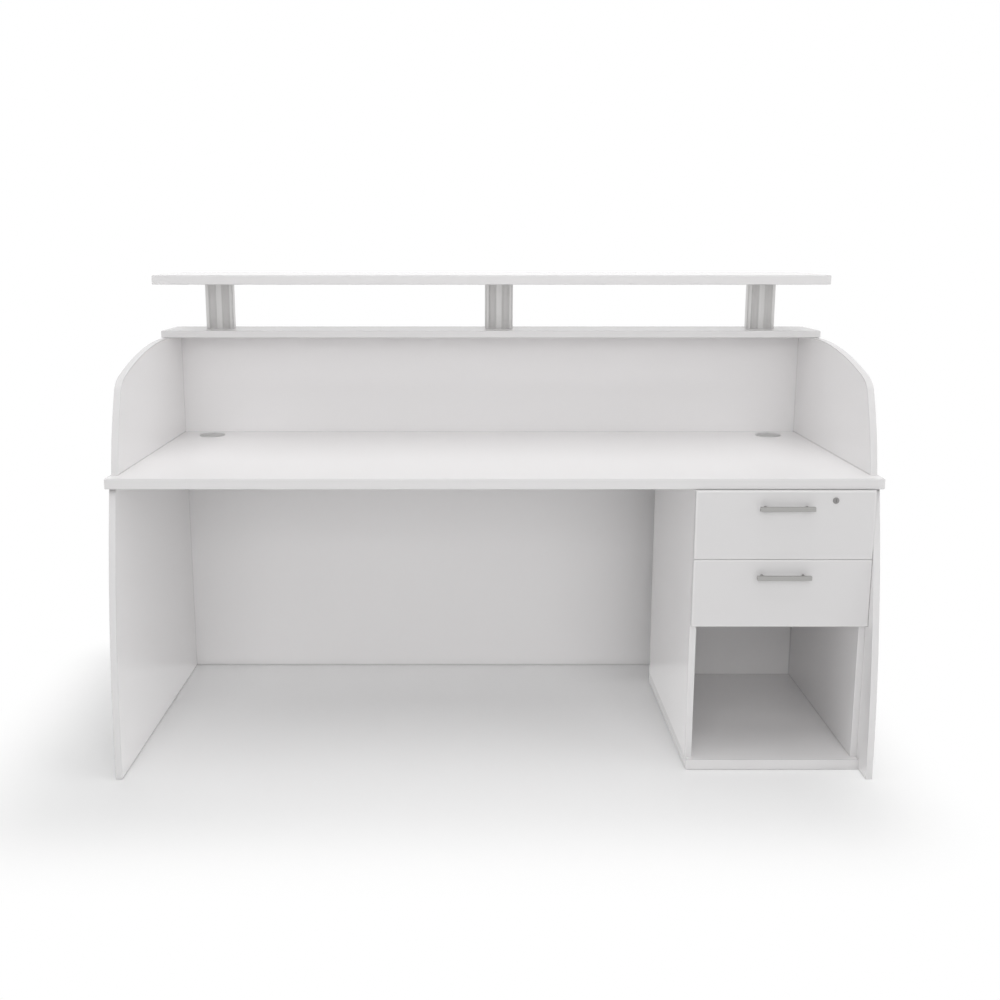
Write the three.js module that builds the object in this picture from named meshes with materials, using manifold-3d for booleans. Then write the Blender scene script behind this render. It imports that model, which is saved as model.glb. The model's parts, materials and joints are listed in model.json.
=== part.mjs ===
// Reception desk: melamine boards, a raised counter on fluted posts and a fixed pedestal with two drawers.
// Millimetres, +Z up. +X runs along the desk, seen from the staff side, and +Y points to the visitors.
// The origin is on the floor under the middle of the desk. Inside the desk group y = 0 is the staff edge
// of the worktop.
import * as THREE from 'three';
import { mergeVertices } from 'three/addons/utils/BufferGeometryUtils.js';
import Module from 'manifold-3d';

const wasm = await Module();
wasm.setup();

// Driving dimensions: tops and panels
const deskWidth = 1800;
const worktopHeight = 712;
const worktopDepth = 738;
const topThickness = 25;
const panelThickness = 16;
const edgeRound = 2;
const endInset = 5;
const footReach = 68;
const endTopSetback = 20;
const cappingHeight = 1011;
const cappingThickness = 19;
const cappingDepth = 186;
const cappingOverhang = 24;
const counterDepth = 360;

// Outline of a hob end, measured back from its front foot and down from the capping
const hobFootSetback = 42;
const hobLean = 62;
const hobLeanStart = 16;
const hobShoulderDrop = 90;
const hobCornerRun = 74;
const hobCornerDrop = 66;
const hobTopRun = 118;
const hobTopDrop = 55;
const hobCrestPull = 316;
const hobCrestRun = 518;

// Posts and their bolts
const postHeight = 126;
const postWidth = 78;
const postDepth = 36;
const postCornerRadius = 9;
const postSetback = 53;
const postInset = 143;
const middlePostOffset = 24;
const fluteWidth = 22;
const fluteDepth = 4.5;
const fluteSpacing = 36;
const boltRadius = 4;
const boltHeadRadius = 7;
const boltHeadHeight = 5;
const boltGrip = 14;

// Cable ports
const portInset = 112;
const portBehindPedestal = 64;
const portHoleRadius = 30;
const portFlangeRadius = 35;
const portFlangeHeight = 2.5;
const portWall = 2.5;
const portLedge = 3;
const portTail = 6;
const capThickness = 3.5;
const capNotchRadius = 10;

// Pedestal carcass
const pedestalWidth = 416;
const cableSpace = 138;
const pedestalSetback = 6;
const pedestalBoard = 16;
const baseThickness = 25;
const shelfLap = 1.5;

// Drawers
const drawerFrontHeight = 162;
const drawerFrontThickness = 18;
const drawerGap = 1.2;
const topReveal = 1;
const sideReveal = 0.7;
const bumperGap = 1.5;
const boxRearGap = 79.5;
const boxHeight = 110;
const boxLift = 26;
const boxSideThickness = 12;
const bottomThickness = 5;
const bottomRise = 10;
const grooveDepth = 6;

// Runners
const runnerThickness = 12.7;
const runnerHeight = 45;
const runnerShortfall = 10;
const runnerSetback = 2;
const runnerSheet = 1.2;
const runnerLip = 4;
const runnerPlay = 0.4;

// Bar handles
const handleLength = 126;
const handleProjection = 24;
const handleHeight = 11;
const handleBar = 8;
const handleSpacing = 96;
const handleLegRadius = 4;
const handleEdge = 1.5;
const handleDrop = 38.5;

// Lock
const lockInset = 94;
const lockDrop = 22.2;
const lockRimRadius = 7.5;
const lockRimHeight = 2.5;
const lockRimChamfer = 1;
const lockBarrelRadius = 6.5;
const lockBarrelLength = 27.5;
const lockPlugRadius = 4.8;
const lockPlugProud = 0.4;
const keySlotWidth = 1.8;
const keySlotHeight = 6;
const keySlotDepth = 3;
const camReach = 18;
const camWidth = 12;
const camThickness = 2;
const camClearance = 1.5;

// Angle rails and glide strips
const railLeg = 30;
const railSheet = 2.5;
const railInset = 170;
const glideWidth = 14;
const glideHeight = 1.2;
const glideChamfer = 0.4;
const glideInset = 25;

// Fits
const fitClearance = 0.3;
const cutMargin = 1;

// Facets of round pieces, of curved outlines and of rounded edges
const portSides = 40;
const lockSides = 32;
const holeSides = 24;
const boltSides = 16;
const legSides = 20;
const longCurveSegments = 16;
const smallCurveSegments = 8;
const edgeSegments = 2;
const handleEdgeSegments = 4;

// Levels and lines that follow from the driving dimensions
const worktopUnder = worktopHeight - topThickness;
const cappingUnder = cappingHeight - cappingThickness;
const counterUnder = cappingHeight + postHeight;
const endOuter = deskWidth / 2 - endInset;
const endInner = endOuter - panelThickness;
const frontInner = worktopDepth;
const frontOuter = frontInner + panelThickness;
const cappingBack = frontOuter + cappingOverhang;
const postLine = frontOuter - postSetback;
const postCentres = [-deskWidth / 2 + postInset, middlePostOffset, deskWidth / 2 - postInset];
const boltOffsets = [-fluteSpacing / 2, fluteSpacing / 2];
const boltHoleRadius = boltRadius + fitClearance;
const portX = deskWidth / 2 - portInset;
const pedestalRight = endInner;
const pedestalLeft = pedestalRight - pedestalWidth;
const pedestalInner = [pedestalLeft + pedestalBoard, pedestalRight - pedestalBoard];
const pedestalFront = pedestalSetback;
const pedestalBack = frontInner - cableSpace;
const pedestalBackInner = pedestalBack - pedestalBoard;
const portY = pedestalBack + portBehindPedestal;
const baseTop = glideHeight + baseThickness;
const pedestalTopUnder = worktopUnder - pedestalBoard;
const drawerRear = pedestalFront - bumperGap;
const drawerFace = drawerRear - drawerFrontThickness;
const boxOuter = [pedestalInner[0] + runnerThickness, pedestalInner[1] - runnerThickness];
const boxInner = [boxOuter[0] + boxSideThickness, boxOuter[1] - boxSideThickness];
const boxBackY = pedestalBackInner - boxRearGap;
const boxDepth = boxBackY - drawerRear;
const runnerFront = pedestalFront + runnerSetback;
const runnerLength = boxDepth - runnerShortfall;
const lockX = pedestalRight - lockInset;
const camY = drawerFace + lockBarrelLength + lockPlugProud;

// Finishes
const whiteMelamine = { color: 0xf1f1ef, roughness: 0.42, metalness: 0 };
const anodised = { color: 0xb9babb, roughness: 0.38, metalness: 0.9 };
const brushedAluminium = { color: 0xb4b3b0, roughness: 0.34, metalness: 0.95 };
const zincSteel = { color: 0xa9abad, roughness: 0.4, metalness: 0.9 };
const chrome = { color: 0xc9cacc, roughness: 0.15, metalness: 1 };
const greyPlastic = { color: 0xa6a6a7, roughness: 0.5, metalness: 0 };
const darkPlastic = { color: 0x3a3a3c, roughness: 0.6, metalness: 0 };

const desk = new THREE.Group();

function addMesh(name, geometry, finish, position = [0, 0, 0]) {
  const mesh = new THREE.Mesh(geometry, new THREE.MeshStandardMaterial(finish));
  mesh.name = name;
  mesh.position.set(...position);
  desk.add(mesh);
  return mesh;
}

// Solids that can be joined and cut

function solidOf(geometry) {
  const bare = geometry.clone();
  bare.deleteAttribute('normal');
  bare.deleteAttribute('uv');
  const merged = mergeVertices(bare);
  return new wasm.Manifold(new wasm.Mesh({
    numProp: 3,
    vertProperties: new Float32Array(merged.attributes.position.array),
    triVerts: new Uint32Array(merged.index.array),
  }));
}

function geometryOf(solid) {
  const mesh = solid.getMesh();
  const result = new THREE.BufferGeometry();
  result.setAttribute('position', new THREE.BufferAttribute(mesh.vertProperties, 3));
  result.setIndex(new THREE.BufferAttribute(mesh.triVerts, 1));
  return result;
}

function cutAway(geometry, tools) {
  return geometryOf(tools.reduce((solid, tool) => solid.subtract(solidOf(tool)), solidOf(geometry)));
}

function joinOn(geometry, pieces) {
  return geometryOf(pieces.reduce((solid, piece) => solid.add(solidOf(piece)), solidOf(geometry)));
}

function drill(radius, depth, x, y, z, sides = holeSides) {
  return new THREE.CylinderGeometry(radius, radius, depth, sides).rotateX(Math.PI / 2).translate(x, y, z);
}

function block(x, y, z) {
  const geometry = new THREE.BoxGeometry(x[1] - x[0], y[1] - y[0], z[1] - z[0]);
  return geometry.translate((x[0] + x[1]) / 2, (y[0] + y[1]) / 2, (z[0] + z[1]) / 2);
}

// Outlines

function polygon(points) {
  return new THREE.Shape(points.map(([x, y]) => new THREE.Vector2(x, y)));
}

function rectangle(x, y) {
  return polygon([[x[0], y[0]], [x[1], y[0]], [x[1], y[1]], [x[0], y[1]]]);
}

// A flat board with edging rounded along both faces.
function edgedBoard(outline, thickness, round, bevelSegments = edgeSegments) {
  const geometry = new THREE.ExtrudeGeometry(outline, {
    depth: thickness - 2 * round,
    bevelThickness: round,
    bevelSize: round,
    bevelOffset: -round,
    bevelSegments,
    curveSegments: smallCurveSegments,
  });
  return geometry.translate(0, 0, round);
}

function squareBoard(outline, thickness, curveSegments = smallCurveSegments) {
  return new THREE.ExtrudeGeometry(outline, { depth: thickness, bevelEnabled: false, curveSegments });
}

// Places an outline drawn in y and z as an upright board that is thick along x.
function standAcross(mesh, x) {
  mesh.rotation.set(Math.PI / 2, 0, Math.PI / 2, 'ZYX');
  mesh.position.set(x, 0, 0);
}

// Places an outline drawn in x and z so that its thickness ends at y and runs towards the staff side.
function standFacing(mesh, x, y, z) {
  mesh.rotation.x = Math.PI / 2;
  mesh.position.set(x, y, z);
}

// A turned piece whose axis is upright, from [radius, height] pairs.
function turned(profile, segments) {
  const points = profile.map(([radius, height]) => new THREE.Vector2(radius, height));
  return new THREE.LatheGeometry(points, segments);
}

// Worktop, capping and counter

function makeTops() {
  const halfWidth = deskWidth / 2;
  const worktop = edgedBoard(rectangle([-halfWidth, halfWidth], [0, worktopDepth]), topThickness, edgeRound);
  const portHoles = [-portX, portX].map(
    (x) => drill(portHoleRadius, topThickness + 2 * cutMargin, x, portY, topThickness / 2, portSides),
  );
  addMesh('worktop', cutAway(worktop, portHoles), whiteMelamine, [0, 0, worktopUnder]);

  const boltSpots = postCentres.flatMap((x) => boltOffsets.map((offset) => x + offset));
  const cappingOutline = rectangle([-halfWidth, halfWidth], [cappingBack - cappingDepth, cappingBack]);
  const capping = edgedBoard(cappingOutline, cappingThickness, edgeRound);
  const cappingHoles = boltSpots.map(
    (x) => drill(boltHoleRadius, cappingThickness + 2 * cutMargin, x, postLine, cappingThickness / 2),
  );
  addMesh('capping', cutAway(capping, cappingHoles), whiteMelamine, [0, 0, cappingUnder]);

  const counterSpan = [postLine - counterDepth / 2, postLine + counterDepth / 2];
  const counter = edgedBoard(rectangle([-halfWidth, halfWidth], counterSpan), topThickness, edgeRound);
  const socketDepth = boltGrip + fitClearance;
  const sockets = boltSpots.map(
    (x) => drill(boltHoleRadius, 2 * socketDepth, x, postLine, 0),
  );
  addMesh('counter_top', cutAway(counter, sockets), whiteMelamine, [0, 0, counterUnder]);
}

// End panels: the staff edge is one arc that starts upright at the floor and leans back to the worktop.
function makeEndPanels() {
  const rise = worktopUnder - glideHeight;
  const sweep = footReach + endTopSetback;
  const radius = (rise * rise + sweep * sweep) / (2 * sweep);
  const outline = new THREE.Shape();
  outline.moveTo(frontInner, glideHeight);
  outline.lineTo(-footReach, glideHeight);
  outline.absarc(radius - footReach, glideHeight, radius, Math.PI, Math.PI - Math.asin(rise / radius), true);
  outline.lineTo(frontInner, worktopUnder);
  const panel = squareBoard(outline, panelThickness, longCurveSegments);
  standAcross(addMesh('left_end_panel', panel, whiteMelamine), -endOuter);
  standAcross(addMesh('right_end_panel', panel, whiteMelamine), endInner);
}

// Hob ends: a leaning front edge, a round shoulder and a long crest that runs in under the capping.
function makeHobEnds() {
  const foot = hobFootSetback;
  const shoulder = cappingUnder - hobShoulderDrop;
  const outline = new THREE.Shape();
  outline.moveTo(frontInner, worktopHeight);
  outline.lineTo(foot, worktopHeight);
  outline.quadraticCurveTo(foot + hobLeanStart, (worktopHeight + shoulder) / 2, foot + hobLean, shoulder);
  outline.quadraticCurveTo(
    foot + hobCornerRun, cappingUnder - hobCornerDrop, foot + hobTopRun, cappingUnder - hobTopDrop,
  );
  outline.quadraticCurveTo(foot + hobCrestPull, cappingUnder, foot + hobCrestRun, cappingUnder);
  outline.lineTo(frontInner, cappingUnder);
  const board = squareBoard(outline, panelThickness, longCurveSegments);
  standAcross(addMesh('left_hob_end', board, whiteMelamine), -endOuter);
  standAcross(addMesh('right_hob_end', board, whiteMelamine), endInner);
}

function makeFrontPanel() {
  const span = [glideHeight, cappingUnder];
  const panel = block([-endOuter, endOuter], [frontInner, frontOuter], span);
  addMesh('front_panel', panel, whiteMelamine);
}

// Posts: one extrusion with two round-bottomed flutes on each broad face and two bolt ports.
// A flute's control point lies twice as deep as the flute.
function makePosts() {
  const halfWidth = postWidth / 2;
  const halfDepth = postDepth / 2;
  const corner = postCornerRadius;
  const half = fluteWidth / 2;
  const bottom = 2 * fluteDepth;
  const outline = new THREE.Shape();
  outline.moveTo(halfWidth, halfDepth - corner);
  outline.absarc(halfWidth - corner, halfDepth - corner, corner, 0, Math.PI / 2, false);
  for (const x of [fluteSpacing / 2, -fluteSpacing / 2]) {
    outline.lineTo(x + half, halfDepth);
    outline.quadraticCurveTo(x, halfDepth - bottom, x - half, halfDepth);
  }
  outline.lineTo(corner - halfWidth, halfDepth);
  outline.absarc(corner - halfWidth, halfDepth - corner, corner, Math.PI / 2, Math.PI, false);
  outline.lineTo(-halfWidth, corner - halfDepth);
  outline.absarc(corner - halfWidth, corner - halfDepth, corner, Math.PI, 1.5 * Math.PI, false);
  for (const x of [-fluteSpacing / 2, fluteSpacing / 2]) {
    outline.lineTo(x - half, -halfDepth);
    outline.quadraticCurveTo(x, bottom - halfDepth, x + half, -halfDepth);
  }
  outline.lineTo(halfWidth - corner, -halfDepth);
  outline.absarc(halfWidth - corner, corner - halfDepth, corner, 1.5 * Math.PI, 2 * Math.PI, false);
  for (const x of boltOffsets) {
    const port = new THREE.Path();
    port.absarc(x, 0, boltHoleRadius, 0, 2 * Math.PI, true);
    outline.holes.push(port);
  }
  const post = squareBoard(outline, postHeight);
  ['left_post', 'middle_post', 'right_post'].forEach((name, index) => {
    addMesh(name, post, anodised, [postCentres[index], postLine, cappingHeight]);
  });
}

// Bolts come up through the capping and the posts into the counter.
function makePostBolts() {
  const top = counterUnder + boltGrip;
  const profile = [
    [0, cappingUnder - boltHeadHeight],
    [boltHeadRadius, cappingUnder - boltHeadHeight],
    [boltHeadRadius, cappingUnder],
    [boltRadius, cappingUnder],
    [boltRadius, top],
    [0, top],
  ];
  const bolt = turned(profile, boltSides);
  ['left_post', 'middle_post', 'right_post'].forEach((post, index) => {
    ['left_bolt', 'right_bolt'].forEach((side, flute) => {
      const place = [postCentres[index] + boltOffsets[flute], postLine, 0];
      addMesh(`${post}_${side}`, bolt, zincSteel, place).rotation.x = Math.PI / 2;
    });
  });
}

// Cable ports: a flanged sleeve with a ledge, and a cap with a cable notch that lies on it.
function makeCablePorts() {
  const sleeveOuter = portHoleRadius - fitClearance;
  const mouth = sleeveOuter - portWall;
  const throat = mouth - portLedge;
  const seat = portFlangeHeight - capThickness;
  const sleeveBottom = -topThickness - portTail;
  const capRadius = mouth - fitClearance;
  const sleeve = turned([
    [throat, sleeveBottom],
    [sleeveOuter, sleeveBottom],
    [sleeveOuter, 0],
    [portFlangeRadius, 0],
    [portFlangeRadius, portFlangeHeight / 2],
    [portFlangeRadius - portFlangeHeight / 2, portFlangeHeight],
    [mouth, portFlangeHeight],
    [mouth, seat],
    [throat, seat],
    [throat, sleeveBottom],
  ], portSides);
  const disc = turned(
    [[0, seat], [capRadius, seat], [capRadius, portFlangeHeight], [0, portFlangeHeight]], portSides,
  );
  const notchDepth = 2 * (capThickness + portFlangeHeight);
  const notch = new THREE.CylinderGeometry(capNotchRadius, capNotchRadius, notchDepth, holeSides);
  const cap = cutAway(disc, [notch.translate(0, 0, -capRadius)]);
  for (const [side, x] of [['left', -portX], ['right', portX]]) {
    const place = [x, portY, worktopHeight];
    addMesh(`${side}_port_sleeve`, sleeve, greyPlastic, place).rotation.x = Math.PI / 2;
    addMesh(`${side}_port_cap`, cap, greyPlastic, place).rotation.x = Math.PI / 2;
  }
}

// Pedestal carcass: the base comes forward flush with the drawer fronts, the sides stand on it,
// and the top, shelf and back fit between them.
function makePedestal() {
  const sideHeights = [baseTop, worktopUnder];
  const depth = [pedestalFront, pedestalBack];
  const innerDepth = [pedestalFront, pedestalBackInner];
  const shelfBottom = drawerLevels(1).bottom + shelfLap;
  const left = block([pedestalLeft, pedestalInner[0]], depth, sideHeights);
  const right = block([pedestalInner[1], pedestalRight], depth, sideHeights);
  const base = block([pedestalLeft, pedestalRight], [drawerFace, pedestalBack], [glideHeight, baseTop]);
  const back = block(pedestalInner, [pedestalBackInner, pedestalBack], [baseTop, pedestalTopUnder]);
  const shelf = block(pedestalInner, innerDepth, [shelfBottom, shelfBottom + pedestalBoard]);
  addMesh('pedestal_left_side', left, whiteMelamine);
  addMesh('pedestal_right_side', right, whiteMelamine);
  addMesh('pedestal_base', base, whiteMelamine);
  addMesh('pedestal_back', back, whiteMelamine);
  addMesh('pedestal_shelf', shelf, whiteMelamine);

  const lockZ = drawerLevels(0).top - lockDrop;
  const top = block(pedestalInner, depth, [pedestalTopUnder, worktopUnder]);
  const mortise = block(
    [lockX - camReach - camClearance, lockX + camReach + camClearance],
    [camY - camClearance, camY + camThickness + camClearance],
    [pedestalTopUnder - cutMargin, lockZ + camReach + camClearance],
  );
  addMesh('pedestal_top', cutAway(top, [mortise]), whiteMelamine);
}

// Lower and upper edge of a drawer front, counted down from the worktop.
function drawerLevels(index) {
  const top = worktopUnder - topReveal - index * (drawerFrontHeight + drawerGap);
  return { top, bottom: top - drawerFrontHeight };
}

function makeDrawerFront(name, levels, withLock) {
  const width = pedestalWidth - 2 * sideReveal;
  const outline = rectangle([-width / 2, width / 2], [0, drawerFrontHeight]);
  const middle = (pedestalLeft + pedestalRight) / 2;
  const grooveReach = (boxInner[1] - boxInner[0]) / 2 + grooveDepth;
  const grooveFloor = boxLift + bottomRise - fitClearance;
  const tools = [block(
    [-grooveReach, grooveReach],
    [grooveFloor, grooveFloor + bottomThickness + 2 * fitClearance],
    [-cutMargin, grooveDepth],
  )];
  if (withLock) {
    const bore = lockBarrelRadius + fitClearance;
    const depth = drawerFrontThickness + 2 * cutMargin;
    const lockHeight = drawerFrontHeight - lockDrop;
    tools.push(drill(bore, depth, lockX - middle, lockHeight, drawerFrontThickness / 2, lockSides));
  }
  const front = cutAway(edgedBoard(outline, drawerFrontThickness, edgeRound), tools);
  standFacing(addMesh(name, front, whiteMelamine), middle, drawerRear, levels.bottom);
}

// Drawer box: grooved sides carry the bottom, and the back stands on it.
function makeDrawerBox(prefix, boxBottom) {
  const grooveLow = bottomRise - fitClearance;
  const grooveHigh = bottomRise + bottomThickness + fitClearance;
  const inside = boxSideThickness - grooveDepth;
  const sideSection = (mirror) => polygon([
    [0, 0], [boxSideThickness, 0], [boxSideThickness, grooveLow], [inside, grooveLow],
    [inside, grooveHigh], [boxSideThickness, grooveHigh], [boxSideThickness, boxHeight], [0, boxHeight],
  ].map(([x, z]) => [mirror * x, z]));
  const leftSide = addMesh(`${prefix}_left_side`, squareBoard(sideSection(1), boxDepth), whiteMelamine);
  const rightSide = addMesh(`${prefix}_right_side`, squareBoard(sideSection(-1), boxDepth), whiteMelamine);
  standFacing(leftSide, boxOuter[0], boxBackY, boxBottom);
  standFacing(rightSide, boxOuter[1], boxBackY, boxBottom);

  const bottomLow = boxBottom + bottomRise;
  const bottomHigh = bottomLow + bottomThickness;
  const tongue = grooveDepth - fitClearance;
  const bottom = block(
    [boxInner[0] - tongue, boxInner[1] + tongue], [drawerRear - tongue, boxBackY], [bottomLow, bottomHigh],
  );
  const back = block(boxInner, [boxBackY - boxSideThickness, boxBackY], [bottomHigh, boxBottom + boxHeight]);
  addMesh(`${prefix}_bottom`, bottom, whiteMelamine);
  addMesh(`${prefix}_back`, back, whiteMelamine);
}

// Bar handle: a straight bar with rounded edges, on two round legs that stand on the drawer face.
function makeHandle(name, levels) {
  const half = handleLength / 2;
  const outline = rectangle([-half, half], [-handleProjection, handleBar - handleProjection]);
  const bar = edgedBoard(outline, handleHeight, handleEdge, handleEdgeSegments);
  const legLength = handleProjection - handleBar / 2;
  const legs = [-handleSpacing / 2, handleSpacing / 2].map((x) => {
    const leg = new THREE.CylinderGeometry(handleLegRadius, handleLegRadius, legLength, legSides);
    return leg.translate(x, -legLength / 2, handleHeight / 2);
  });
  const middle = (pedestalLeft + pedestalRight) / 2;
  const low = levels.top - handleDrop - handleHeight / 2;
  addMesh(name, joinOn(bar, legs), brushedAluminium, [middle, drawerFace, low]);
}

// Telescopic runner: the outer channel is screwed to the pedestal, the inner hat to the drawer side,
// and the middle channel runs between them. Sections are drawn from the pedestal side, x across, z up.
function runnerSections() {
  const sheet = runnerSheet;
  const play = runnerPlay;
  const outerHalf = runnerHeight / 2;
  const outerReach = runnerThickness - sheet - 2 * play;
  const middleHalf = outerHalf - sheet - play;
  const middleWeb = sheet + play;
  const middleReach = outerReach - sheet - play;
  const innerWeb = runnerThickness - sheet;
  const innerFoot = middleWeb + sheet + play;
  const innerHalf = middleHalf - sheet - play;
  const innerLeg = middleHalf - sheet - runnerLip - play;
  const channel = (web, half, reach) => {
    const flange = half - sheet;
    const lip = flange - runnerLip;
    return [
      [web, -half], [reach, -half], [reach, -lip], [reach - sheet, -lip], [reach - sheet, -flange],
      [web + sheet, -flange], [web + sheet, flange], [reach - sheet, flange], [reach - sheet, lip],
      [reach, lip], [reach, half], [web, half],
    ];
  };
  const hat = [
    [runnerThickness, -innerLeg], [runnerThickness, innerLeg], [innerFoot + sheet, innerLeg],
    [innerFoot + sheet, innerHalf], [innerFoot, innerHalf], [innerFoot, innerLeg - sheet],
    [innerWeb, innerLeg - sheet], [innerWeb, sheet - innerLeg], [innerFoot, sheet - innerLeg],
    [innerFoot, -innerHalf], [innerFoot + sheet, -innerHalf], [innerFoot + sheet, -innerLeg],
  ];
  return {
    outer: channel(0, outerHalf, outerReach),
    middle: channel(middleWeb, middleHalf, middleReach),
    inner: hat,
  };
}

function makeRunners(prefix, centreZ) {
  const sections = runnerSections();
  for (const [side, wall, mirror] of [['left', pedestalInner[0], 1], ['right', pedestalInner[1], -1]]) {
    for (const [member, points] of Object.entries(sections)) {
      const section = polygon(points.map(([x, z]) => [mirror * x, z]));
      const name = `${prefix}_${side}_runner_${member}`;
      const rail = addMesh(name, squareBoard(section, runnerLength), zincSteel);
      standFacing(rail, wall, runnerFront + runnerLength, centreZ);
    }
  }
}

// Cam lock in the upper drawer front. Its axis lies along y, from the face inwards.
function makeLock() {
  const z = drawerLevels(0).top - lockDrop;
  const place = [lockX, drawerFace, z];
  const bore = lockPlugRadius + fitClearance;
  const housing = turned([
    [bore, -lockRimHeight],
    [lockRimRadius - lockRimChamfer, -lockRimHeight],
    [lockRimRadius, lockRimChamfer - lockRimHeight],
    [lockRimRadius, 0],
    [lockBarrelRadius, 0],
    [lockBarrelRadius, lockBarrelLength],
    [bore, lockBarrelLength],
    [bore, -lockRimHeight],
  ], lockSides);
  addMesh('lock_housing', housing, chrome, place);

  const plugFront = -lockRimHeight - lockPlugProud;
  const plugBack = camY - drawerFace;
  const plug = turned(
    [[0, plugFront], [lockPlugRadius, plugFront], [lockPlugRadius, plugBack], [0, plugBack]], holeSides,
  );
  const keySlot = block(
    [-keySlotWidth / 2, keySlotWidth / 2],
    [plugFront - cutMargin, plugFront + keySlotDepth],
    [-keySlotHeight / 2, keySlotHeight / 2],
  );
  addMesh('lock_plug', cutAway(plug, [keySlot]), chrome, place);

  const camRadius = camWidth / 2;
  const outline = new THREE.Shape();
  outline.absarc(0, 0, camRadius, -Math.PI / 2, Math.PI / 2, false);
  outline.absarc(camRadius - camReach, 0, camRadius, Math.PI / 2, 1.5 * Math.PI, false);
  const cam = squareBoard(outline, camThickness);
  standFacing(addMesh('lock_cam', cam, zincSteel), lockX, camY + camThickness, z);
}

function makeDrawers() {
  ['upper_drawer', 'lower_drawer'].forEach((prefix, index) => {
    const levels = drawerLevels(index);
    const boxBottom = levels.bottom + boxLift;
    makeDrawerFront(`${prefix}_front`, levels, index === 0);
    makeDrawerBox(prefix, boxBottom);
    makeHandle(`${prefix}_handle`, levels);
    makeRunners(prefix, boxBottom + boxHeight / 2);
  });
}

// Angle rails hold the worktop to the left end panel and to the front panel.
function makeRails() {
  const angle = (mirror) => polygon([
    [0, 0], [railLeg, 0], [railLeg, -railSheet], [railSheet, -railSheet],
    [railSheet, -railLeg], [0, -railLeg],
  ].map(([run, drop]) => [mirror * run, drop]));
  const endLength = frontInner - 2 * railInset;
  const endRail = addMesh('worktop_end_rail', squareBoard(angle(1), endLength), zincSteel);
  standFacing(endRail, -endInner, frontInner - railInset, worktopUnder);

  const frontLength = pedestalLeft + endInner - 2 * railInset;
  const frontRail = addMesh('worktop_front_rail', squareBoard(angle(-1), frontLength), zincSteel);
  standAcross(frontRail, railInset - endInner);
  frontRail.position.y = frontInner;
  frontRail.position.z = worktopUnder;
}

// Glide strips lie under both end panels and under the sides of the pedestal.
function makeGlides() {
  const half = glideWidth / 2;
  const section = polygon([
    [glideChamfer - half, 0], [half - glideChamfer, 0], [half, glideChamfer], [half, glideHeight],
    [-half, glideHeight], [-half, glideChamfer],
  ]);
  const endStrip = squareBoard(section, frontInner + footReach - 2 * glideInset);
  const pedestalStrip = squareBoard(section, pedestalBack - pedestalFront - 2 * glideInset);
  const endMiddle = (endOuter + endInner) / 2;
  const strips = [
    ['left_end_glide', endStrip, -endMiddle, frontInner],
    ['right_end_glide', endStrip, endMiddle, frontInner],
    ['pedestal_left_glide', pedestalStrip, pedestalLeft + glideInset, pedestalBack],
    ['pedestal_right_glide', pedestalStrip, pedestalRight - glideInset, pedestalBack],
  ];
  for (const [name, strip, x, end] of strips) {
    standFacing(addMesh(name, strip, darkPlastic), x, end - glideInset, 0);
  }
}

makeTops();
makeEndPanels();
makeHobEnds();
makeFrontPanel();
makePosts();
makePostBolts();
makeCablePorts();
makePedestal();
makeDrawers();
makeLock();
makeRails();
makeGlides();

// The foot is the nearest point to the staff and the counter's edge the nearest to the visitors.
desk.position.y = (footReach - postLine - counterDepth / 2) / 2;
const receptionDesk = new THREE.Group();
receptionDesk.add(desk);

export default receptionDesk;
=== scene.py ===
import json
import math

import bmesh
import bpy
from mathutils import Matrix, Vector


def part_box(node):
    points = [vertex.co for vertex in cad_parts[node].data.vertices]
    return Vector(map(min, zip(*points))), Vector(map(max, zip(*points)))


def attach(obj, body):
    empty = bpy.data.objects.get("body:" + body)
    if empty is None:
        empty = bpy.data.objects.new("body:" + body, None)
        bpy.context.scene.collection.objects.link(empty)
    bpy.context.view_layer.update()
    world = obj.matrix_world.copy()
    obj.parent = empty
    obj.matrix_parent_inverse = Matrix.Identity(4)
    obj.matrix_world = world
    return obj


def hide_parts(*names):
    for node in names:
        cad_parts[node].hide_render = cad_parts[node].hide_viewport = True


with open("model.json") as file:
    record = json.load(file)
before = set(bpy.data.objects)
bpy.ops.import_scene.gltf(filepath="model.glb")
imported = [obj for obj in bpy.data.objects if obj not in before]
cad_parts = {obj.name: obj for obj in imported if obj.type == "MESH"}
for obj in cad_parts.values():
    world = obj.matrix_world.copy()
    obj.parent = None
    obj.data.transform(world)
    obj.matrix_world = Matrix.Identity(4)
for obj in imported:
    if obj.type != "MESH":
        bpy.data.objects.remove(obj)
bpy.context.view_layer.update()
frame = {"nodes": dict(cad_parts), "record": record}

mm = 0.001
record = frame["record"]
bodyOf = {node: body for body, nodes in record["behaviour"]["bodies"].items() for node in nodes}
slotOf = {row["node"]: row["material_slot"] for row in record["subparts"]}


# Shader sums written as sums

class Wire:
    def __init__(self, tree, socket):
        self.tree = tree
        self.socket = socket

    def combine(self, operation, first, second):
        return addNode(self.tree, "ShaderNodeMath", {"operation": operation}, {0: first, 1: second})

    def __add__(self, other):
        return self.combine("ADD", self, other)

    def __radd__(self, other):
        return self.combine("ADD", other, self)

    def __mul__(self, other):
        return self.combine("MULTIPLY", self, other)

    def __rmul__(self, other):
        return self.combine("MULTIPLY", other, self)


def connect(tree, slot, value):
    if isinstance(value, Wire):
        tree.links.new(value.socket, slot)
    else:
        slot.default_value = value


def addNode(tree, kind, settings=None, sockets=None, output=0):
    made = tree.nodes.new(kind)
    for key, value in (settings or {}).items():
        setattr(made, key, value)
    for key, value in (sockets or {}).items():
        connect(tree, made.inputs[key], value)
    return Wire(tree, made.outputs[output]) if made.outputs else made


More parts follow.
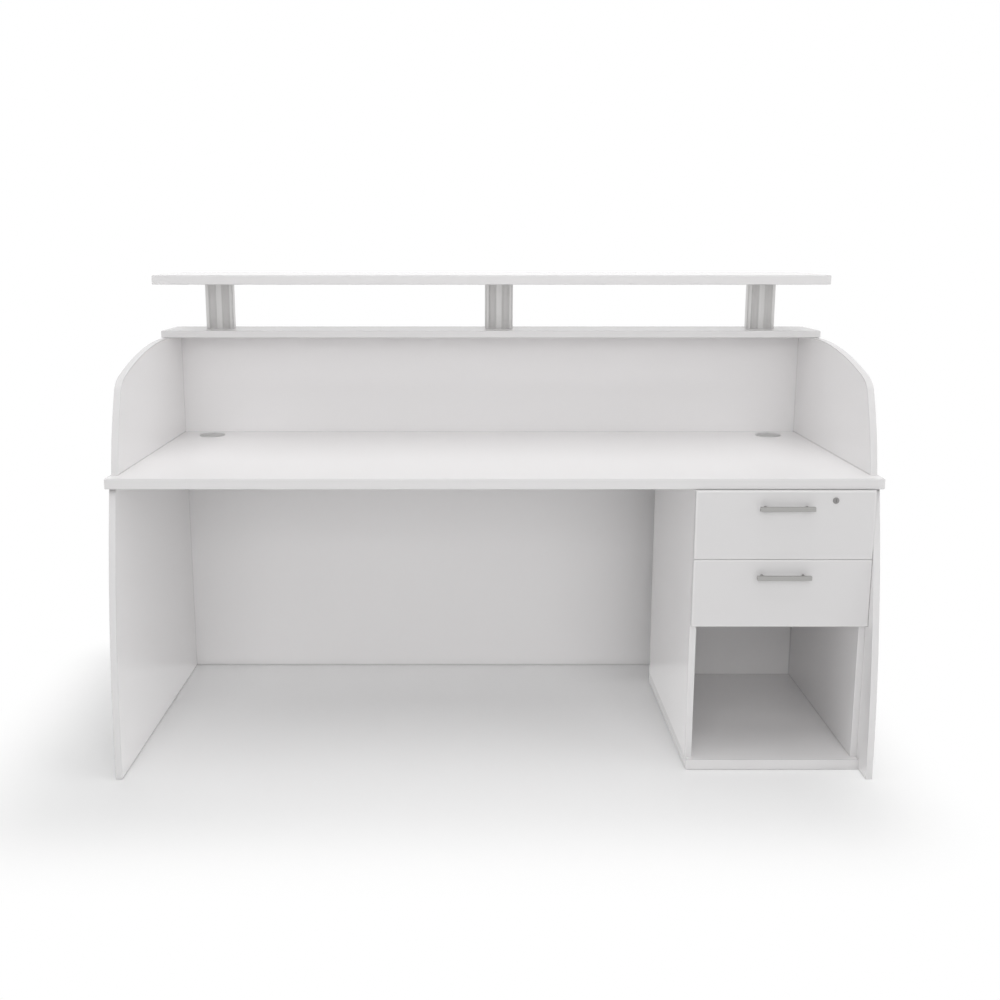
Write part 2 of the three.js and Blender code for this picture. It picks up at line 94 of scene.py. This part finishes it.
class Finish:
    def __init__(self, name, constants):
        self.material = bpy.data.materials.new(name)
        self.material.use_nodes = True
        self.tree = self.material.node_tree
        self.surface = self.tree.nodes["Principled BSDF"]
        self.feed(constants)

    def node(self, kind, settings=None, sockets=None, output=0):
        return addNode(self.tree, kind, settings, sockets, output)

    def feed(self, sockets):
        for key, value in sockets.items():
            connect(self.tree, self.surface.inputs[key], value)

    def noise(self, scale, detail, stretch=(1, 1, 1)):
        spot = self.node("ShaderNodeTexCoord", output="Object")
        spot = self.node("ShaderNodeMapping", sockets={"Vector": spot, "Scale": stretch})
        return self.node("ShaderNodeTexNoise", sockets={"Vector": spot, "Scale": scale, "Detail": detail})

    def between(self, factor, look):
        sockets = {0: factor, 6: look["light"], 7: look["deep"]}  # the factor and the two colours
        return self.node("ShaderNodeMix", {"data_type": "RGBA"}, sockets, output=2)

    def bump(self, height, skin):
        values = {"Height": height, "Distance": skin["depth"], "Strength": skin["strength"]}
        return self.node("ShaderNodeBump", sockets=values)


# White melamine: a pearl-embossed foil, very even in tone
melamineSkin = {
    "gloss": 1.5, "rough": 0.25, "roughSpread": 0.03, "cloudScale": 2.4, "cloudDetail": 2,
    "pearlScale": 700, "pearlDetail": 1, "depth": 0.006 * mm, "strength": 1.0,
}
boardTones = {"light": (0.862, 0.851, 0.853, 1), "deep": (0.848, 0.838, 0.839, 1)}
# Edging tone: a darker copy of the board white, painted shade of the upright edges
edgingPaintedShadeTones = {"light": (0.722, 0.713, 0.715, 1), "deep": (0.71, 0.701, 0.703, 1)}
# Drawer-front tone: a darker copy of the board white, painted shade of the upright fronts
frontPaintedShadeTones = {"light": (0.685, 0.676, 0.678, 1), "deep": (0.673, 0.664, 0.666, 1)}


def makeMelamine(name, tones):
    skin = melamineSkin
    finish = Finish(name, {"IOR": skin["gloss"]})
    clouds = finish.noise(skin["cloudScale"], skin["cloudDetail"])
    pearl = finish.noise(skin["pearlScale"], skin["pearlDetail"])
    finish.feed({
        "Base Color": finish.between(clouds, tones),
        "Roughness": clouds * skin["roughSpread"] + skin["rough"],
        "Normal": finish.bump(pearl, skin),
    })
    return finish


# Metals: tone and gloss vary a little along the drawing or brushing direction, the one with the small grain
metalSkin = {"grainDetail": 3, "roughSpread": 0.12, "depth": 0.02 * mm, "strength": 0.4}
postMetal = {
    "light": (0.65, 0.643, 0.637, 1), "deep": (0.57, 0.563, 0.557, 1), "rough": 0.3, "grain": (260, 260, 3),
}
# Flute metal: the post metal darkened, painted shade for the grooves
fluteMetalPaintedShade = {
    "light": (0.58, 0.573, 0.567, 1), "deep": (0.51, 0.503, 0.497, 1), "rough": 0.4, "grain": (260, 260, 3),
}
handleMetal = {
    "light": (0.44, 0.435, 0.426, 1), "deep": (0.37, 0.365, 0.356, 1), "rough": 0.3, "grain": (5, 420, 420),
}
zincMetal = {
    "light": (0.6, 0.61, 0.62, 1), "deep": (0.46, 0.47, 0.485, 1), "rough": 0.34, "grain": (90, 40, 90),
}
lockMetal = {
    "light": (0.38, 0.376, 0.371, 1), "deep": (0.3, 0.296, 0.292, 1), "rough": 0.26, "grain": (300, 40, 300),
}


def makeMetal(name, look):
    finish = Finish(name, {"Metallic": 1.0})
    grain = finish.noise(1.0, metalSkin["grainDetail"], look["grain"])
    finish.feed({
        "Base Color": finish.between(grain, look),
        "Roughness": grain * metalSkin["roughSpread"] + look["rough"],
        "Normal": finish.bump(grain, metalSkin),
    })
    return finish


# Moulded plastics: spark-eroded texture
mouldSkin = {
    "gloss": 1.46, "roughSpread": 0.15, "cloudScale": 60, "cloudDetail": 3,
    "speckleScale": 1600, "speckleDetail": 2, "depth": 0.03 * mm, "strength": 0.5,
}
portPlastic = {"light": (0.51, 0.507, 0.505, 1), "deep": (0.47, 0.467, 0.465, 1), "rough": 0.42}
glidePlastic = {"light": (0.06, 0.06, 0.062, 1), "deep": (0.045, 0.045, 0.047, 1), "rough": 0.5}


def makePlastic(name, look):
    skin = mouldSkin
    finish = Finish(name, {"IOR": skin["gloss"]})
    clouds = finish.noise(skin["cloudScale"], skin["cloudDetail"])
    speckle = finish.noise(skin["speckleScale"], skin["speckleDetail"])
    finish.feed({
        "Base Color": finish.between(clouds, look),
        "Roughness": speckle * skin["roughSpread"] + look["rough"],
        "Normal": finish.bump(speckle, skin),
    })
    return finish


edging = makeMelamine("whiteEdgingPaintedShade", edgingPaintedShadeTones)
flutePaintedShade = makeMetal("postFlutePaintedShade", fluteMetalPaintedShade)
frontPaintedShadeFoil = makeMelamine("drawerFoilPaintedShade", frontPaintedShadeTones)
finishes = {
    "white_melamine": makeMelamine("whiteMelamine", boardTones),
    "anodised_post": makeMetal("anodisedPost", postMetal),
    "handle_aluminium": makeMetal("handleAluminium", handleMetal),
    "zinc_steel": makeMetal("zincSteel", zincMetal),
    "lock_chrome": makeMetal("lockNickel", lockMetal),
    "grey_plastic": makePlastic("portPlastic", portPlastic),
    "glide_plastic": makePlastic("glidePlastic", glidePlastic),
}
print("finishes made:", len(finishes))


# Making pieces
copying = {"mergeWithin": 0.002 * mm, "flatBelow": 0.5}
shading = {"smoothBelow": 48, "evenWeight": 100}


def mergedCopy(node):
    bm = bmesh.new()
    bm.from_mesh(frame["nodes"][node].data)
    bmesh.ops.remove_doubles(bm, verts=bm.verts, dist=copying["mergeWithin"])
    flat = math.radians(copying["flatBelow"])
    bmesh.ops.dissolve_limit(bm, angle_limit=flat, verts=bm.verts, edges=bm.edges)
    return bm


def roundEdges(bm, width, segments, above):
    sharp = [e for e in bm.edges if len(e.link_faces) == 2 and e.calc_face_angle(0) > math.radians(above)]
    bmesh.ops.bevel(
        bm, geom=sharp, offset=width, segments=segments, profile=0.5, affect="EDGES", material=-1,
        clamp_overlap=True,
    )


def makePiece(bm, name, slotName):
    mesh = bpy.data.meshes.new(name)
    bm.to_mesh(mesh)
    bm.free()
    mesh.materials.append(finishes[slotName].material)
    mesh.shade_smooth()
    mesh.set_sharp_from_angle(angle=math.radians(shading["smoothBelow"]))
    piece = bpy.data.objects.new(name, mesh)
    bpy.context.scene.collection.objects.link(piece)
    even = piece.modifiers.new("evenNormals", "WEIGHTED_NORMAL")
    even.keep_sharp = True
    even.weight = shading["evenWeight"]
    return piece


def standFor(piece, node):
    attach(piece, bodyOf[node])
    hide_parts(node)


# Boards: edging 2 mm thick is glued round them, so its thickness shows as a narrow band on both faces; the
# edges and these bands take the darker edging tone, which is painted shade
board = {"edge": 0.9 * mm, "segments": 3, "squareAbove": 80, "edging": 2.0 * mm, "level": 0.9999}
# Drawer fronts are a little fuller than their solids, so that only hairline gaps are left between them
drawerFront = {"edge": 0.4 * mm, "extra": 0.35 * mm, "onBox": 0.01 * mm}


def bandFaces(bm):
    broad = max(bm.faces, key=lambda f: f.calc_area()).normal.copy()
    faced = set()
    for side in (broad, -broad):
        faces = [f for f in bm.faces if f.normal.dot(side) > board["level"]]
        bmesh.ops.inset_region(
            bm, faces=faces, thickness=board["edging"], use_even_offset=True, use_boundary=True,
        )
        faced.update(faces)
    for face in bm.faces:
        if face not in faced:
            face.material_index = 1


def fillOut(bm, node):
    low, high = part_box(node)
    for vert in bm.verts:
        for axis in (0, 2):
            if abs(vert.co[axis] - low[axis]) < drawerFront["onBox"]:
                vert.co[axis] -= drawerFront["extra"]
            elif abs(vert.co[axis] - high[axis]) < drawerFront["onBox"]:
                vert.co[axis] += drawerFront["extra"]


def makeBoard(node):
    isFront = node.endswith("drawer_front")
    bm = mergedCopy(node)
    if isFront:
        fillOut(bm, node)
    width = drawerFront["edge"] if isFront else board["edge"]
    roundEdges(bm, width, board["segments"], board["squareAbove"])
    bandFaces(bm)
    piece = makePiece(bm, node + "_board", "white_melamine")
    # The edges and face bands take the darker edging copy of the melamine: painted shade
    piece.data.materials.append(edging.material)
    # Drawer fronts take a darker copy of the melamine: painted shade
    if isFront:
        piece.data.materials[0] = frontPaintedShadeFoil.material
    standFor(piece, node)


boardNodes = [node for node, slotName in slotOf.items() if slotName == "white_melamine"]
for node in boardNodes:
    makeBoard(node)
print("boards dressed:", len(boardNodes))


# Metal and plastic pieces keep their shapes and get broken edges; the handles' edges are round already
fitting = {"segments": 2, "squareAbove": 55}
edgeBreaks = {
    "anodised_post": 0.5 * mm, "handle_aluminium": 0.0, "zinc_steel": 0.25 * mm, "lock_chrome": 0.25 * mm,
    "grey_plastic": 0.4 * mm, "glide_plastic": 0.4 * mm,
}
# The posts' flutes get a darker, rougher copy of the post metal: painted shade in the grooves, while the
# lands keep the post metal
paintedShadeFluteBand = {"from": 7.0 * mm, "to": 29.0 * mm, "upright": 0.5}


def paintShadeOnFlutes(bm, node):
    low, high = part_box(node)
    middle = (low[0] + high[0]) / 2
    for face in bm.faces:
        offset = abs(face.calc_center_median().x - middle)
        if abs(face.normal.z) < paintedShadeFluteBand["upright"] and paintedShadeFluteBand["from"] < offset < paintedShadeFluteBand["to"]:
            face.material_index = 1


def makeFitting(node, slotName):
    isPost = node.endswith("_post")
    bm = mergedCopy(node)
    if edgeBreaks[slotName] > 0:
        roundEdges(bm, edgeBreaks[slotName], fitting["segments"], fitting["squareAbove"])
    if isPost:
        paintShadeOnFlutes(bm, node)
    piece = makePiece(bm, node + "_dressed", slotName)
    if isPost:
        # The flute faces take the darker flute metal: painted shade
        piece.data.materials.append(flutePaintedShade.material)
    standFor(piece, node)


for node, slotName in slotOf.items():
    if node not in boardNodes and not node.endswith("_bolt"):
        makeFitting(node, slotName)
print("fittings dressed")


# Bolts and screws are extruded ring by ring, so that a hexagon socket can be sunk into a round head
ringSides = 24
hexagonTurn = math.pi / 3


def shapeRing(verts, shape, size, height):
    for vert in verts:
        angle = math.atan2(vert.co.y, vert.co.x)
        lean = (angle + hexagonTurn / 2) % hexagonTurn - hexagonTurn / 2
        reach = size / math.cos(lean) if shape == "hexagon" else size
        vert.co = (reach * math.cos(angle), reach * math.sin(angle), height)


def stackRings(bm, rings, place, axis):
    ring = bmesh.ops.create_circle(bm, cap_ends=True, segments=ringSides, radius=rings[0][1])["verts"]
    shapeRing(ring, *rings[0])
    edges = list(ring[0].link_faces[0].edges)
    made = list(ring)
    for shape, size, height in rings[1:]:
        geom = bmesh.ops.extrude_edge_only(bm, edges=edges)["geom"]
        ring = [item for item in geom if isinstance(item, bmesh.types.BMVert)]
        lines = [item for item in geom if isinstance(item, bmesh.types.BMEdge)]
        edges = [line for line in lines if set(line.verts) <= set(ring)]
        shapeRing(ring, shape, size, height)
        made += ring
    bmesh.ops.contextual_create(bm, geom=edges)
    turn = Vector((0, 0, 1)).rotation_difference(Vector(axis)).to_matrix().to_4x4()
    bmesh.ops.transform(bm, verts=made, matrix=Matrix.Translation(place) @ turn)
    bmesh.ops.recalc_face_normals(bm, faces=bm.faces)


# Post bolts: cap heads under the capping
bolt = {
    "shank": 4.0 * mm, "head": 7.0 * mm, "headHeight": 5.0 * mm, "edge": 0.6 * mm, "socket": 3.0 * mm,
    "socketDepth": 3.0 * mm,
}


def makeBolt(node):
    low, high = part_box(node)
    length = high[2] - low[2]
    bm = bmesh.new()
    stackRings(bm, [
        ("round", bolt["shank"] - bolt["edge"], 0.0),
        ("round", bolt["shank"], bolt["edge"]),
        ("round", bolt["shank"], length - bolt["headHeight"]),
        ("round", bolt["head"], length - bolt["headHeight"]),
        ("round", bolt["head"], length - bolt["edge"]),
        ("round", bolt["head"] - bolt["edge"], length),
        ("hexagon", bolt["socket"], length),
        ("hexagon", bolt["socket"], length - bolt["socketDepth"]),
    ], ((low[0] + high[0]) / 2, (low[1] + high[1]) / 2, high[2]), (0, 0, -1))
    standFor(makePiece(bm, node + "_turned", "zinc_steel"), node)


for node in slotOf:
    if node.endswith("_bolt"):
        makeBolt(node)
print("bolts made")


# Button-head screws hold the angle rails, the drawer handles and the runners' inner members
screw = {
    "radius": 3.8 * mm, "rim": 0.735 * mm, "shoulder": 3.42 * mm, "shoulderRise": 1.575 * mm,
    "flat": 2.5 * mm, "rise": 2.1 * mm, "socket": 1.25 * mm, "socketDepth": 1.3 * mm,
}
screwRings = [
    ("round", screw["radius"], 0.0),
    ("round", screw["radius"], screw["rim"]),
    ("round", screw["shoulder"], screw["shoulderRise"]),
    ("round", screw["flat"], screw["rise"]),
    ("hexagon", screw["socket"], screw["rise"]),
    ("hexagon", screw["socket"], screw["rise"] - screw["socketDepth"]),
]
rail = {
    "sheet": 2.5 * mm, "line": 17.0 * mm, "margin": 40.0 * mm, "stagger": 24.0 * mm, "endCount": 4,
    "frontCount": 7,
}
handleFixing = {"spacing": 96.0 * mm}
runner = {"sheet": 1.2 * mm, "steps": (37.0 * mm, 165.0 * mm, 293.0 * mm, 421.0 * mm)}


def spread(low, high, count):
    first = low + rail["margin"]
    last = high - rail["margin"] - rail["stagger"]
    return [first + (last - first) * step / (count - 1) for step in range(count)]


def makeScrews(name, body, spots):
    bm = bmesh.new()
    for place, axis in spots:
        stackRings(bm, screwRings, place, axis)
    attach(makePiece(bm, name, "zinc_steel"), body)


def endRailScrews():
    low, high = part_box("worktop_end_rail")
    spots = []
    for y in spread(low[1], high[1], rail["endCount"]):
        upper = (low[0] + rail["line"], y, high[2] - rail["sheet"])
        side = (low[0] + rail["sheet"], y + rail["stagger"], high[2] - rail["line"])
        spots += [(upper, (0, 0, -1)), (side, (1, 0, 0))]
    makeScrews("end_rail_screws", bodyOf["worktop_end_rail"], spots)


def frontRailScrews():
    low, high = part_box("worktop_front_rail")
    spots = []
    for x in spread(low[0], high[0], rail["frontCount"]):
        upper = (x, high[1] - rail["line"], high[2] - rail["sheet"])
        side = (x + rail["stagger"], high[1] - rail["sheet"], high[2] - rail["line"])
        spots += [(upper, (0, 0, -1)), (side, (0, -1, 0))]
    makeScrews("front_rail_screws", bodyOf["worktop_front_rail"], spots)


def drawerScrews(drawer):
    low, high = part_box(drawer + "_handle")
    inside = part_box(drawer + "_front")[1][1]
    middle, level = (low[0] + high[0]) / 2, (low[2] + high[2]) / 2
    spots = [((middle + side * handleFixing["spacing"] / 2, inside, level), (0, 1, 0)) for side in (-1, 1)]
    for side, outward in (("left", -1), ("right", 1)):
        low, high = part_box(drawer + "_" + side + "_runner_inner")
        face = high[0] - runner["sheet"] if outward < 0 else low[0] + runner["sheet"]
        level = (low[2] + high[2]) / 2
        spots += [((face, low[1] + step, level), (outward, 0, 0)) for step in runner["steps"]]
    makeScrews(drawer + "_screws", bodyOf[drawer + "_front"], spots)


endRailScrews()
frontRailScrews()
for drawer in ("upper_drawer", "lower_drawer"):
    drawerScrews(drawer)
print("screws made")


# Stage: a pale floor that runs out to the white surround
stage = {
    "floorSize": 60.0, "floorTone": (0.93, 0.93, 0.93, 1), "lift": 0.03, "middle": (-0.115, -0.135, 0.0),
    "reach": (0.815, 0.485, 1.0), "meltWidth": 0.4, "surround": 1.0, "mirror": 0.62, "worldLight": 0.06,
}
lamps = {
    "overhead": {"size": (5.0, 4.0), "place": (0.0, -0.3, 3.6), "aim": (0.0, -0.3, 0.0), "power": 103.0},
    "key": {"size": (4.0, 2.5), "place": (0.0, -4.5, 3.5), "aim": (0.0, 0.0, 0.6), "power": 52.0},
    "middle": {"size": (5.0, 1.4), "place": (0.0, -5.2, 2.0), "aim": (0.0, 0.0, 0.5), "power": 61.0},
    "rear": {"size": (5.0, 2.0), "place": (0.0, 5.5, 1.8), "aim": (0.0, 0.0, 0.6), "power": 85.0},
    "left": {"size": (3.0, 2.4), "place": (-5.0, -2.0, 1.6), "aim": (0.0, 0.0, 0.6), "power": 29.5},
    "right": {"size": (3.0, 2.4), "place": (5.0, -2.0, 1.6), "aim": (0.0, 0.0, 0.6), "power": 50.0},
    "bounce": {"size": (9.0, 9.0), "place": (0.0, -0.4, 0.003), "aim": (0.0, -0.4, 1.0), "power": 32.0},
}


def rayKinds(tree):
    rays = tree.nodes.new("ShaderNodeLightPath")
    names = ("Is Camera Ray", "Is Glossy Ray", "Is Transmission Ray")
    return [Wire(tree, rays.outputs[name]) for name in names]


# How far a floor point lies outside the rectangle that keeps the shadow, from 0 inside to 1 past the melt
def makeMelt(tree):
    steps = (
        ("SUBTRACT", {1: stage["middle"]}),
        ("ABSOLUTE", {}),
        ("SUBTRACT", {1: stage["reach"]}),
        ("MAXIMUM", {1: (0, 0, 0)}),
    )
    spot = addNode(tree, "ShaderNodeTexCoord", output="Object")
    for operation, other in steps:
        spot = addNode(tree, "ShaderNodeVectorMath", {"operation": operation}, {0: spot, **other})
    away = addNode(tree, "ShaderNodeVectorMath", {"operation": "LENGTH"}, {0: spot}, output="Value")
    return addNode(tree, "ShaderNodeMapRange", {"interpolation_type": "SMOOTHSTEP"}, {
        "Value": away, "From Min": 0.0, "From Max": stage["meltWidth"],
    })


def makeFloorFinish():
    material = bpy.data.materials.new("paleFloor")
    material.use_nodes = True
    tree = material.node_tree
    tree.nodes.clear()
    camera, glossy, through = rayKinds(tree)
    melt = makeMelt(tree)
    mirrored = melt * (1 - stage["mirror"]) + stage["mirror"]
    whiteShare = camera * melt + (glossy + through) * mirrored
    plain = addNode(tree, "ShaderNodeBsdfDiffuse", sockets={"Color": stage["floorTone"]})
    glow = addNode(tree, "ShaderNodeEmission", sockets={"Strength": camera * stage["lift"]})
    lifted = addNode(tree, "ShaderNodeAddShader", sockets={0: plain, 1: glow})
    white = addNode(tree, "ShaderNodeEmission", sockets={"Strength": stage["surround"]})
    both = addNode(tree, "ShaderNodeMixShader", sockets={0: whiteShare, 1: lifted, 2: white})
    addNode(tree, "ShaderNodeOutputMaterial", sockets={"Surface": both})
    return material


def makeFloor():
    bm = bmesh.new()
    bmesh.ops.create_grid(bm, x_segments=1, y_segments=1, size=stage["floorSize"] / 2)
    mesh = bpy.data.meshes.new("floor")
    bm.to_mesh(mesh)
    bm.free()
    mesh.materials.append(makeFloorFinish())
    floor = bpy.data.objects.new("floor", mesh)
    bpy.context.scene.collection.objects.link(floor)


def makeWorld():
    world = bpy.data.worlds.new("surround")
    bpy.context.scene.world = world
    world.use_nodes = True
    tree = world.node_tree
    tree.nodes.clear()
    camera, glossy, through = rayKinds(tree)
    white = (1.0, 1.0, 1.0, 1)
    light = addNode(tree, "ShaderNodeBackground", sockets={"Color": white, "Strength": stage["worldLight"]})
    plain = addNode(tree, "ShaderNodeBackground", sockets={"Color": white, "Strength": stage["surround"]})
    both = addNode(tree, "ShaderNodeMixShader", sockets={0: camera + glossy + through, 1: light, 2: plain})
    addNode(tree, "ShaderNodeOutputWorld", sockets={"Surface": both})


def makeLamp(name, look):
    data = bpy.data.lights.new(name, "AREA")
    data.shape = "RECTANGLE"
    data.size, data.size_y = look["size"]
    data.energy = look["power"]
    lamp = bpy.data.objects.new(name, data)
    towards = Vector(look["aim"]) - Vector(look["place"])
    lamp.location = look["place"]
    lamp.rotation_euler = towards.to_track_quat("-Z", "Y").to_euler()
    lamp.visible_camera = False
    lamp.visible_glossy = False
    bpy.context.scene.collection.objects.link(lamp)


makeFloor()
makeWorld()
for name, look in lamps.items():
    makeLamp(name, look)
print("stage set")


# Camera: untilted, a little left of the middle, looking slightly down at the staff side
view = {
    "lens": 43.764, "sensor": 36.0, "place": (-0.0559, -3.1566, 1.23385), "down": 11.7406, "shiftX": 0.02967,
    "farthest": 200.0,
}


def makeCamera():
    data = bpy.data.cameras.new("staffSide")
    data.lens = view["lens"]
    data.sensor_width = view["sensor"]
    data.shift_x = view["shiftX"]
    data.clip_end = view["farthest"]
    camera = bpy.data.objects.new("staffSide", data)
    camera.location = view["place"]
    camera.rotation_euler = (math.radians(90 - view["down"]), 0, 0)
    bpy.context.scene.collection.objects.link(camera)
    bpy.context.scene.camera = camera


makeCamera()
bpy.context.scene.view_settings.view_transform = "Standard"
print("camera set")
